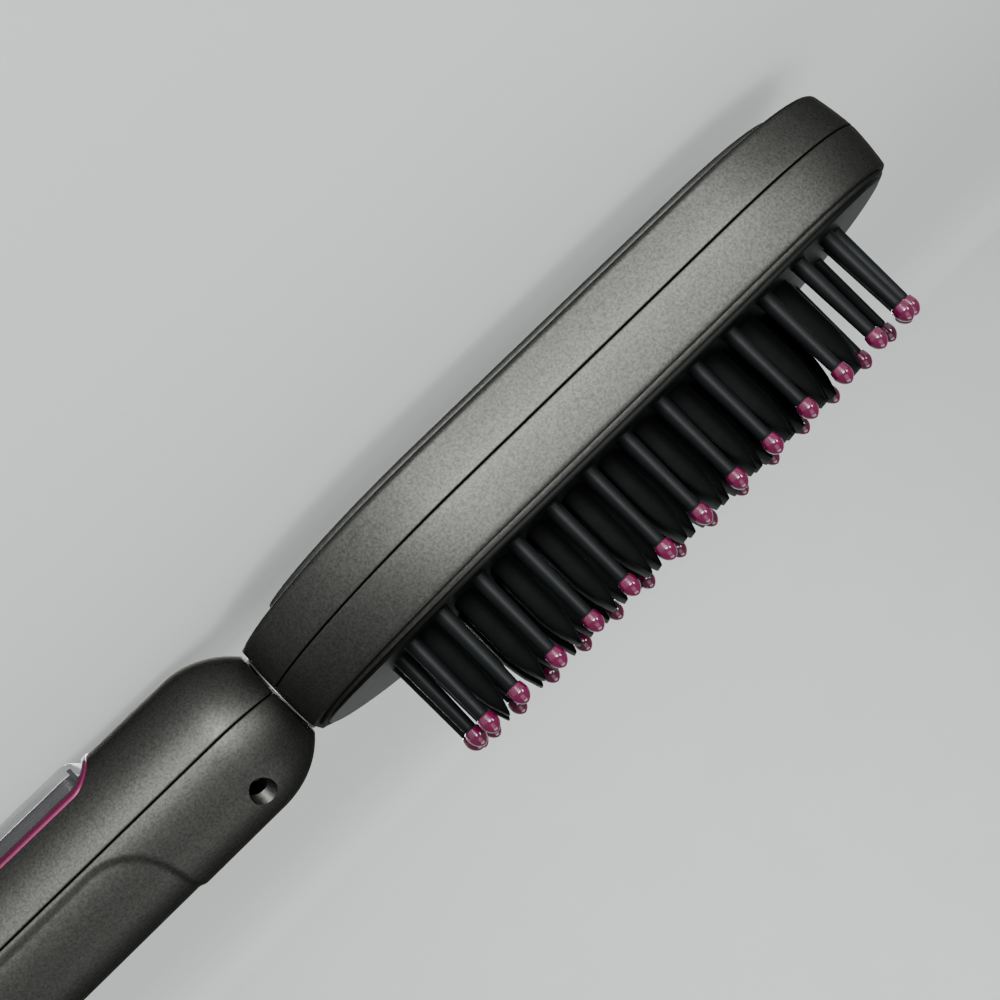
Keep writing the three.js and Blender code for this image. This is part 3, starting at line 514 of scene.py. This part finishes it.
# Cover on the back of the head: how far in and at which height
COVER_PROFILE = [
    (0.6, -8.72), (0.05, -8.84), (0, -8.95), (0, -9.6), (0.08, -10.0), (0.25, -10.4),
    (0.5, -10.68), (0.85, -10.86), (1.3, -10.96), (1.9, -11.0), (5, -11.0), (10, -11.0),
]
cover_rings = []
for inset, z in COVER_PROFILE:
    outline = head_plan(COVER_INSET + inset, HEAD_START + COVER_START + inset, COVER_END_INSET + inset)
    cover_rings.append(ring_at(outline, z))
# The cover takes the lighter copy of the paint, a painted highlight.
make("head_cover", *loft(cover_rings, True, True), graphite_painted_highlight, "brush", ["back_panel"], slot="graphite")


# Frame that carries the pins
def pad_ring(inset, z):
    return ring_at(frame_plan(inset), z, FRAME_CROWN)


COLUMNS = [FIRST_PIN_X + PIN_PITCH * c for c in range(PIN_COLUMNS)]
FINS = [(x + FIN_SHIFT, 0) for x in COLUMNS]
FINS += [(x + SIDE_FIN_SHIFT, y) for y in (SIDE_FIN_Y, -SIDE_FIN_Y) for x in COLUMNS]

top_rings = [pad_ring(0.9, FRAME_EDGE_Z), pad_ring(0.02, FRAME_EDGE_Z)]
for inset, z in ((0, 8.5), (0, 9.6), (0, 10.6), (0.03, 10.78), (0.12, 10.92), (0.26, 10.99), (0.45, FRAME_TOP)):
    top_rings.append(pad_ring(inset, z))
top_rings += [pad_ring(inset, FRAME_TOP) for inset in (1.5, 3, 5, 7, 9, 11, 14, 17, 20, 22.5)]
under_rings = [pad_ring(inset, FRAME_UNDERSIDE) for inset in (22.5, 20, 17, 14, 11, 9, 7, 5, 3, 0.9)]
pad_parts = [loft(top_rings, cap_end=True), loft(under_rings, cap_start=True), loft([under_rings[-1], top_rings[0]])]
pad = make("pin_pad", *joined(pad_parts), pad_black, "brush", ["bristle_frame"], slot="black_nylon")


def slab(x, y, z):
    """Box between pairs of coordinates."""
    corners = [(a, b, c) for a in x for b in y for c in z]
    return corners, [(0, 1, 3, 2), (4, 6, 7, 5), (0, 4, 5, 1), (2, 3, 7, 6), (0, 2, 6, 4), (1, 5, 7, 3)]


half = FIN_THICKNESS / 2 + SLOT_GAP
long_half = FIN_LENGTH / 2 + SLOT_GAP
slots = [slab((x - half, x + half), (y - long_half, y + long_half), SLOT_Z) for x, y in FINS]
cut(pad, [joined(slots)], smooth=35)


def ellipse_places(count, length, half_width, samples=400):
    """Places spread evenly round half an ellipse, its ends left out."""
    lengths = [0.0]
    for i in range(1, samples + 1):
        a, b = math.pi * (i - 1) / samples, math.pi * i / samples
        step = math.hypot(length * (math.sin(b) - math.sin(a)), half_width * (math.cos(b) - math.cos(a)))
        lengths.append(lengths[-1] + step)
    places = []
    for pin in range(1, count + 1):
        wanted = lengths[-1] * pin / (count + 1)
        angle = math.pi * next(i for i, l in enumerate(lengths) if l >= wanted) / samples
        places.append((length * math.sin(angle), half_width * math.cos(angle)))
    return places


PINS = [(x, side * PIN_ROW_Y) for x in COLUMNS for side in (1, -1)]
PINS += [(FIRST_PIN_X - x, y) for x, y in ellipse_places(5, PIN_NECK_ROUND, PIN_ROW_Y)]
PINS += [(COLUMNS[-1] + x, y) for x, y in ellipse_places(5, PIN_TIP_ROUND, PIN_ROW_Y)]

# Pins and their ball tips: height and radius
PIN_PROFILE = [
    (10.6, 1.75), (10.95, 1.68), (11.02, 1.6), (11.1, 1.53), (11.25, 1.5), (13, 1.455), (15, 1.41), (17, 1.37),
    (19, 1.32), (21, 1.28), (23, 1.235), (25, 1.19), (26.6, 1.16), (26.9, 1.14), (27.1, 1.08), (27.18, 0.95),
]
BALL_PROFILE = [
    (27.02, 0.9), (27.05, 1.2), (27.12, 1.36), (27.22, 1.44), (27.4, 1.47), (27.6, 1.5), (27.9, 1.56),
    (28.25, 1.6), (28.6, 1.6), (28.95, 1.55), (29.3, 1.44), (29.6, 1.28), (29.9, 1.06), (30.15, 0.8),
    (30.33, 0.54), (30.44, 0.28), (30.5, 0.06),
]
pin_parts, ball_parts = [], []
for x, y in PINS:
    drop = fall(FRAME_CROWN, x)
    pin_parts.append(turned([(z - drop, r) for z, r in PIN_PROFILE], upright(x, y), 28))
    ball_parts.append(turned([(z - drop, r) for z, r in BALL_PROFILE], upright(x, y), 24))
make("pins", *joined(pin_parts), pin_black, "brush", ["bristle_frame"], slot="black_nylon")
make("ball_tips", *joined(ball_parts), tip_magenta, "brush", ["tip_insert"], slot="magenta_tips")

# Heated fins and the plate that carries them: height, half thickness and half length
FIN_PROFILE = [
    (8.0, 1.95, 4), (21.4, 1.95, 4), (22.0, 1.93, 4), (22.6, 1.86, 3.98), (24, 1.65, 3.95), (25.6, 1.36, 3.9),
    (26.2, 1.22, 3.88), (27.6, 0.76, 3.8), (28.8, 0.38, 3.66), (29.2, 0.22, 3.5), (29.36, 0.12, 3.35),
    (29.4, 0.04, 3.2),
]


def fin(x, y):
    """Fin with rounded edges: a stack of rounded rectangles that narrows to a point."""
    rings = []
    for z, thick, length in FIN_PROFILE:
        corner = min(0.35, thick * 0.6)
        ring = []
        for cx, cy, start in ((1, 1, 0), (-1, 1, 90), (-1, -1, 180), (1, -1, 270)):
            for step in range(4):
                a = math.radians(start + 30 * step)
                ring.append((
                    x + cx * (thick - corner) + corner * math.cos(a),
                    y + cy * (length - corner) + corner * math.sin(a),
                    z,
                ))
        rings.append(ring)
    return loft(rings, True, True)


plate_parts = [slab(PLATE_X, PLATE_Y, PLATE_Z)] + [fin(x, y) for x, y in FINS]
fins = make(
    "heated_fins", *joined(plate_parts), fin_black, "brush", ["heating_plate"], smooth=38, slot="coated_plate",
)
# Faces on the fins' rounded corners take the lighter copy, a painted highlight along the edges.
coloured(fins, fin_edge_painted_highlight, lambda face: min(abs(face.normal.x), abs(face.normal.y)) > 0.3)

# Ring between the head and the handle
RING_PROFILE = [
    (-0.2, 5.6), (-0.2, 7.8), (-0.17, 7.93), (-0.1, 8.0), (0.1, 8.0), (0.17, 7.93), (0.2, 7.8), (0.2, 5.6),
    (-0.2, 5.6),
]
ring_skin = turned(RING_PROFILE, lengthwise(-0.1), 96, closed=False)
make("bright_ring", *ring_skin, bright_metal, "brush", ["neck_ring"], slot="bright_ring")

# Handle
DOME_DROP = HANDLE_RADIUS - DOME_NECK_RADIUS
DOME_ROUND = (DOME_LENGTH ** 2 + DOME_DROP ** 2) / (2 * DOME_DROP)


def handle_radius(x):
    if x <= -DOME_LENGTH:
        return HANDLE_RADIUS
    return HANDLE_RADIUS - DOME_ROUND + math.sqrt(DOME_ROUND ** 2 - (x + DOME_LENGTH) ** 2)


def eased(value):
    """Smooth step from 0 to 1."""
    t = max(0.0, min(1.0, value))
    return t * t * (3 - 2 * t)


def handle_centre(x):
    """Height of the handle's axis, which rises a little in the dome."""
    return -HANDLE_DROP + (HANDLE_DROP - DOME_NECK_DROP) * eased((x + DOME_LENGTH) / DOME_LENGTH)


def grip_depth(x, z):
    """Depth of the finger recess at a point seen from the side."""
    ax = abs(x - (GRIP_FRONT + GRIP_BACK) / 2) - (GRIP_FRONT - GRIP_BACK) / 2 + GRIP_ROUND
    az = GRIP_SIDE + GRIP_ROUND - z
    if ax > 0 and az > 0:
        inside = GRIP_ROUND - math.hypot(ax, az)
    else:
        inside = GRIP_ROUND - max(ax, az)
    return GRIP_DEPTH * eased(inside / GRIP_SLOPE + 0.5)


def stations():
    """Places of the handle's rings, close together over the dome and the ends of the finger recess."""
    xs = [HANDLE_START - 0.06 * i for i in range(4)] + [-0.8 - 0.45 * i for i in range(98)]
    for end, step in ((-132, 1.5), (-HANDLE_LENGTH + 0.6, 0.5)):
        while xs[-1] > end:
            xs.append(xs[-1] - step)
    return xs + [-HANDLE_LENGTH + 0.06, -HANDLE_LENGTH]


# The edge of a half at the seam, height and inset, and the steps round its outside
SEAM_EDGE = [(SEAM, 1.0), (SEAM, 0.25), (SEAM + 0.03, 0.07), (SEAM + 0.12, 0.015), (SEAM + 0.3, 0.0)]
FINE_ANGLE = math.radians(0.9)
FINE_STEPS = 15
WIDE_STEPS = 30


def handle_half(sign, grip):
    """Half of the handle as rings that run over its outside and back along its inside."""
    rings = []
    xs = stations()
    for x in xs:
        radius, centre = handle_radius(x), handle_centre(x)
        edge = HANDLE_END_ROUND if x in (xs[0], xs[-1]) else 0.0
        side = []
        for height, inset in SEAM_EDGE:
            cosine = sign * (sign * height - centre) / (radius - inset - edge)
            side.append((math.acos(max(-1, min(1, cosine))), inset + edge))
        last = side[-1][0]
        fine = [last - FINE_ANGLE * i for i in range(1, FINE_STEPS + 1)]
        wide = [fine[-1] * (1 - i / WIDE_STEPS) for i in range(1, WIDE_STEPS + 1)]
        side += [(a, edge) for a in fine + wide]
        both = side + [(-a, inset) for a, inset in side[-2::-1]]
        ring = []
        for a, inset in both:
            z = centre + sign * (radius - inset) * math.cos(a)
            r = radius - inset - (grip_depth(x, z) if grip else 0)
            ring.append((x, r * math.sin(a), centre + sign * r * math.cos(a)))
        bore = max(radius - HANDLE_WALL, HANDLE_LEAST_BORE)
        for a, _ in both[::-1]:
            ring.append((x, bore * math.sin(a), centre + sign * bore * math.cos(a)))
        rings.append(ring)
    return loft(rings, True, True)


def rounded_plan(inset, steps=10):
    """Outline of the bezel, moved in."""
    back, front = BEZEL_BACK + inset, BEZEL_FRONT - inset
    half_width, radius = BEZEL_HALF_WIDTH - inset, max(0.2, BEZEL_ROUND - inset)
    points = []
    for x, y, start in (
        (front - radius, radius - half_width, -90), (front - radius, half_width - radius, 0),
        (back + radius, half_width - radius, 90), (back + radius, radius - half_width, 180),
    ):
        for i in range(steps + 1):
            a = math.radians(start + 90 * i / steps)
            points.append((x + radius * math.cos(a), y + radius * math.sin(a)))
    return points


def dense(points, step):
    """The closed outline with points no further apart than the step."""
    result = []
    for (x0, y0), (x1, y1) in zip(points, points[1:] + points[:1]):
        pieces = max(1, math.ceil(math.hypot(x1 - x0, y1 - y0) / step))
        result += [(x0 + (x1 - x0) * i / pieces, y0 + (y1 - y0) * i / pieces) for i in range(pieces)]
    return result


def recess(x, y, seat):
    """Round hole above a screw."""
    profile = [
        (seat, 0.02), (seat, 2.1), (seat + 0.15, 2.25), (seat + 0.4, RECESS_RADIUS),
        (OUTSIDE_HANDLE, RECESS_RADIUS), (OUTSIDE_HANDLE, 0.02),
    ]
    return turned(profile, upright(x, y), 40)


window = loft([[(x, y, z) for x, y in rounded_plan(-BEZEL_GAP)] for z in (-OUTSIDE_HANDLE, -6)], True, True)
back_half = make("handle_back", *handle_half(-1, False), graphite, "brush", ["handle_back_shell"], slot="graphite")
cut(back_half, [window], smooth=30)
front_half = make("handle_front", *handle_half(1, True), graphite, "brush", ["handle_front_shell"], slot="graphite")
cut(front_half, [joined([recess(x, y, seat) for x, y, seat, _ in SCREWS.values()])], smooth=30)

# Screws with a cross recess in the head
SCREW_HEAD = 1.6
CROSS_LENGTH = 1.1
CROSS_WIDTH = 0.24
for name, (x, y, seat, replaced) in SCREWS.items():
    top = seat + SCREW_HEAD
    profile = [
        (seat - 3, 1.1), (seat + 0.3, 1.1), (seat + 0.3, 1.9), (seat + 0.45, 2.0), (top - 0.5, 2.0),
        (top - 0.2, 1.86), (top - 0.05, 1.5), (top, 0.9), (top, 0.02),
    ]
    screw = make(name, *turned(profile, upright(x, y), 32), steel, "brush", [replaced], smooth=25, slot="steel")
    deep = (top - 0.8, top + 1)
    for long, wide in ((CROSS_LENGTH, CROSS_WIDTH), (CROSS_WIDTH, CROSS_LENGTH)):
        cut(screw, [slab((x - long, x + long), (y - wide, y + wide), deep)])

# Bezel round the panel, on the curve of the handle: how far in and how proud of the handle
BEZEL_PROFILE = [
    (0, -0.02), (0.03, 0.1), (0.1, 0.19), (0.22, 0.245), (0.4, 0.25), (0.72, 0.25), (0.88, 0.21), (1.0, 0.12),
    (1.08, -0.05), (1.2, -0.6), (1.4, -1.6), (1.6, -2.4),
]
# Rings of the bezel that keep the plain magenta; the faces after them get the painted shade.
BEZEL_RINGS_BEFORE_PAINTED_SHADE = 3
bezel_plan = dense(rounded_plan(0), 3)


def on_handle(outline, proud):
    """The outline laid on the back of the handle."""
    return [(x, y, -HANDLE_DROP - math.sqrt((HANDLE_RADIUS + proud) ** 2 - y * y)) for x, y in outline]


def inset_plan(inset):
    """Outline with the same points as the bezel's, moved in."""
    centre_x, half_x = (BEZEL_FRONT + BEZEL_BACK) / 2, (BEZEL_FRONT - BEZEL_BACK) / 2
    radius = BEZEL_ROUND
    result = []
    for x, y in bezel_plan:
        dx, dy = x - centre_x, y
        ex = max(0.0, abs(dx) - (half_x - radius))
        ey = max(0.0, abs(dy) - (BEZEL_HALF_WIDTH - radius))
        length = math.hypot(ex, ey) or 1.0
        scale = (radius - inset) / radius if radius > inset else 0.0
        nx, ny = ex * scale, ey * scale
        bx = math.copysign(min(abs(dx), half_x - radius) + nx, dx)
        by = math.copysign(min(abs(dy), BEZEL_HALF_WIDTH - radius) + ny, dy)
        result.append((centre_x + bx, by))
    return result


bezel_rings = [on_handle(bezel_plan, BEZEL_ROOT)]
bezel_rings += [on_handle(inset_plan(inset), proud) for inset, proud in BEZEL_PROFILE]
bezel_rings += [[(x, y, BEZEL_FLOOR) for x, y in inset_plan(inset)] for inset in (BEZEL_WALL, 0.0)]
bezel_rings.append(bezel_rings[0])
bezel = make(
    "panel_bezel", *loft(bezel_rings), bezel_magenta, "brush", ["control_bezel"], smooth=40, slot="magenta_tips",
)
# From the bezel's flat top inward the faces take the darker copy: painted shade.
coloured(bezel, bezel_painted_shade, lambda face: face.index // len(bezel_plan) >= BEZEL_RINGS_BEFORE_PAINTED_SHADE)

# Clear panel: a shell with rounded edges over a printed inner face
LENS_OUTSIDE = [
    (2.95, LENS_FLOOR), (2.02, LENS_FLOOR), (2.0, -9.8), (2.0, -11), (2.0, -12.5), (2.0, -14.1), (2.03, -14.45),
    (2.12, -14.8), (2.3, -15.06), (2.55, -15.22), (2.85, -15.29), (3.2, LENS_FACE),
]
LENS_INSIDE = [(3.5, -13.6), (3.2, -13.5), (3.02, -13.2), (2.95, -12.6), (2.95, LENS_FLOOR)]
PRINT_MARGIN = 2.5
PRINT_BELOW = -13
INSIDE_ABOVE = -13.7


def lens_skin(profile, **caps):
    """Skin of the panel from pairs of inset and height."""
    return loft([[(x, y, z) for x, y in inset_plan(inset)] for inset, z in profile], **caps)


def printed(face):
    """The inner side of the panel's face."""
    return face.normal.z > 0.9 and measured(face.center)[2] < PRINT_BELOW


def beside_print(face):
    """The inner side of the panel's walls."""
    x, y, z = measured(face.center)
    within = abs(y) < BEZEL_HALF_WIDTH - PRINT_MARGIN and BEZEL_BACK + PRINT_MARGIN < x < BEZEL_FRONT - PRINT_MARGIN
    return within and z > INSIDE_ABOVE and not printed(face)


lens_parts = [lens_skin(LENS_OUTSIDE, cap_end=True), lens_skin(LENS_INSIDE, cap_start=True)]
lens = make("clear_cover", *joined(lens_parts), clear, "brush", ["panel_lens"], smooth=35, slot="clear_panel")
hole_profile = [(-OUTSIDE_HANDLE, BUTTON_HOLE), (-5, BUTTON_HOLE)]
cut(lens, [joined([turned(hole_profile, upright(x, 0), 48) for x in BUTTONS.values()])], smooth=35)
coloured(lens, silver_print, printed)
coloured(lens, panel_edge, beside_print)


# Buttons, each with its symbol sunk into the face
def arc(x, inner, outer, start, end, low, high, steps=28):
    """Bar bent round a part of a circle."""
    rings = []
    for i in range(steps + 1):
        a = math.radians(start + (end - start) * i / steps)
        section = ((inner, low), (outer, low), (outer, high), (inner, high))
        rings.append([(x + r * math.cos(a), r * math.sin(a), h) for r, h in section])
    return loft(rings, True, True)


def symbol(name, x):
    """Cutters for the symbol on a button."""
    line, size, deep = SYMBOL_HALF_LINE, SYMBOL_HALF_SIZE, (-16, SYMBOL_FLOOR)
    if name == "power":
        return [arc(x, 1.15, 1.5, 40, 320, *deep), slab((x + 0.5, x + 2.0), (-line, line), deep)]
    bars = [slab((x - line, x + line), (-size, size), deep)]
    if name == "plus":
        bars.append(slab((x - size, x + size), (-line, line), deep))
    return bars


BUTTON_PROFILE = [
    (-12.2, 0.02), (-12.2, 1.2), (-12.5, 1.2), (-12.5, 4.2), (-13.25, 4.2), (-13.3, 3.16), (-14.4, 3.16),
    (-14.7, 3.12), (-14.85, 3.0), (-14.95, 2.75), (-14.99, 2.3), (-14.93, 1.5), (-14.88, 0.8), (-14.86, 0.02),
]
for name, x in BUTTONS.items():
    button = f"{name}_button"
    cap_skin = turned(BUTTON_PROFILE, upright(x, 0), 48)
    cap = make(f"{name}_cap", *cap_skin, cap_silver, button, [button], smooth=40, slot="button_caps")
    cut(cap, symbol(name, x), smooth=40)
    coloured(cap, dark_plastic, lambda face: abs(measured(face.center)[2] - SYMBOL_FLOOR) < 0.01)

# End cap and the gland that turns in it
END_PROFILE = [
    (-153.3, 5.35), (-153.3, 12.6), (-153.24, 13.0), (-153.05, 13.5), (-152.7, 13.95), (-152.3, 14.25),
    (-151.8, 14.38), (-151.2, 14.4), (-150.35, 14.4), (-150.2, 14.36), (-150.12, 14.25), (-150.1, 14.0),
    (-150.1, 12.4), (-144.4, 12.2), (-144.4, 7.7), (-149.5, 7.6), (-149.5, 5.35), (-153.3, 5.35),
]
GLAND_PROFILE = [
    (-159.3, 3.12), (-159.3, 3.9), (-159.24, 4.3), (-159.05, 4.65), (-158.75, 4.88), (-158.3, 4.98),
    (-157.6, 5.0), (-156.9, 5.0), (-156.8, 4.75), (-156.2, 4.75), (-156.1, 5.0), (-155.4, 5.0), (-155.3, 4.75),
    (-154.7, 4.75), (-154.6, 5.0), (-149.1, 5.0), (-149.1, 7.2), (-147.7, 7.2), (-147.7, 5.0), (-146.5, 5.0),
    (-146.5, 3.12), (-159.3, 3.12),
]
end_skin = turned(END_PROFILE, lengthwise(-HANDLE_DROP), 96, closed=False)
make("handle_end", *end_skin, graphite, "brush", ["end_cap"], slot="graphite")
gland_skin = turned(GLAND_PROFILE, lengthwise(-HANDLE_DROP), 64, closed=False)
make("cord_gland", *gland_skin, dark_plastic, "cord_swivel", ["cord_swivel"], slot="black_nylon")

# Pieces that keep their shape
KEPT = {
    "neck_tube": bright_metal, "mica_sheet": mica_sheet, "insulator_sheet": mica_sheet, "heat_shield": mica_sheet,
    "heater_element": ceramic, "thermistor": ceramic, "thermal_fuse": steel, "element_clamp": steel,
    "swivel_retainer": steel, "display_module": dark_plastic, "circuit_board": board_green,
    "mains_capacitor": red_case, "triac": dark_plastic, "heater_lead_live": red_rubber,
    "heater_lead_neutral": white_rubber, "sensor_lead": white_rubber,
}
for index in (1, 2, 3, 4):
    KEPT[f"clamp_screw_{index}"] = steel
    KEPT[f"head_screw_{index}"] = steel
for name in BUTTONS:
    KEPT[f"{name}_switch"] = dark_plastic
for name, material in KEPT.items():
    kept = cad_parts[name]
    kept.data.materials.clear()
    kept.data.materials.append(material)

# Floor that sweeps up far behind the part, world and lights
sweep = [(FLOOR_FRONT, 0.0), (FLOOR_BACK, 0.0)]
for degrees in range(5, 91, 5):
    a = math.radians(degrees)
    sweep.append((FLOOR_BACK - SWEEP_RADIUS * math.sin(a), SWEEP_RADIUS - SWEEP_RADIUS * math.cos(a)))
sweep.append((FLOOR_BACK - SWEEP_RADIUS, WALL_TOP))
floor_mesh = bpy.data.meshes.new("floor")
floor_mesh.from_pydata(
    [(x, y, z) for y, z in sweep for x in (-FLOOR_HALF_WIDTH, FLOOR_HALF_WIDTH)], [],
    [(2 * i, 2 * i + 1, 2 * i + 3, 2 * i + 2) for i in range(len(sweep) - 1)],
)
floor_mesh.shade_smooth()
floor = bpy.data.objects.new("floor", floor_mesh)
scene.collection.objects.link(floor)
floor_shader = Shader("floor_paper", Roughness=0.9, Specular_IOR_Level=0.1)
paper = floor_shader.ramp(floor_shader.noise(8, 3), (0.79, 0.825, 0.81), (0.81, 0.845, 0.83))
floor_shader.link(paper, "Base Color")
floor_mesh.materials.append(floor_shader.material)
floor.visible_shadow = False

world = bpy.data.worlds.new("world")
world.use_nodes = True
background = world.node_tree.nodes["Background"]
background.inputs["Color"].default_value = (0.95, 0.98, 0.97, 1)
background.inputs["Strength"].default_value = 0.3
scene.world = world


def area_light(name, place, aim, size, power, receivers=None):
    """Light that no camera sees. With receivers, it lights and is blocked by them alone."""
    data = bpy.data.lights.new(name, "AREA")
    data.shape = "RECTANGLE"
    data.size, data.size_y = size
    data.energy = power
    light = bpy.data.objects.new(name, data)
    light.location = place
    light.rotation_euler = (Vector(aim) - Vector(place)).to_track_quat("-Z", "Y").to_euler()
    light.visible_camera = False
    scene.collection.objects.link(light)
    if receivers:
        light.light_linking.receiver_collection = receivers
        light.light_linking.blocker_collection = receivers


# The floor has a fill light of its own, and the two lights above and behind spare it
floor_alone = bpy.data.collections.new("floor_alone")
floor_alone.objects.link(floor)
all_but_floor = bpy.data.collections.new("all_but_floor")
all_but_floor.objects.link(floor)
all_but_floor.collection_objects[0].light_linking.link_state = "EXCLUDE"
area_light("key", (0.16, 0.93, -0.12), (0.05, 0, 0.02), (0.42, 0.42), 27)
area_light("front", (0.0, 0.75, 0.85), (0, 0.1, 0), (0.8, 0.8), 3)
area_light("front_floor", (0.0, 0.75, 0.85), (0, 0.1, 0), (0.8, 0.8), 7.6, floor_alone)
area_light("backdrop", (0.0, -1.1, 1.3), (0, -2.3, 0.3), (1.6, 0.8), 17)
area_light("above", (0.0, 0.0, 1.1), (0, 0, 0), (0.7, 0.5), 4, all_but_floor)
area_light("rear", (0.05, -0.9, -0.3), (0, 0, 0.02), (1.0, 0.5), 20, all_but_floor)
area_light("lamp_right", (0.75, 0.75, 0.2), (0.05, 0, 0.03), (0.2, 0.2), 4.5)
area_light("lamp_left", (-0.45, 0.8, -0.5), (0.05, 0, 0.03), (0.1, 0.2), 2.2)
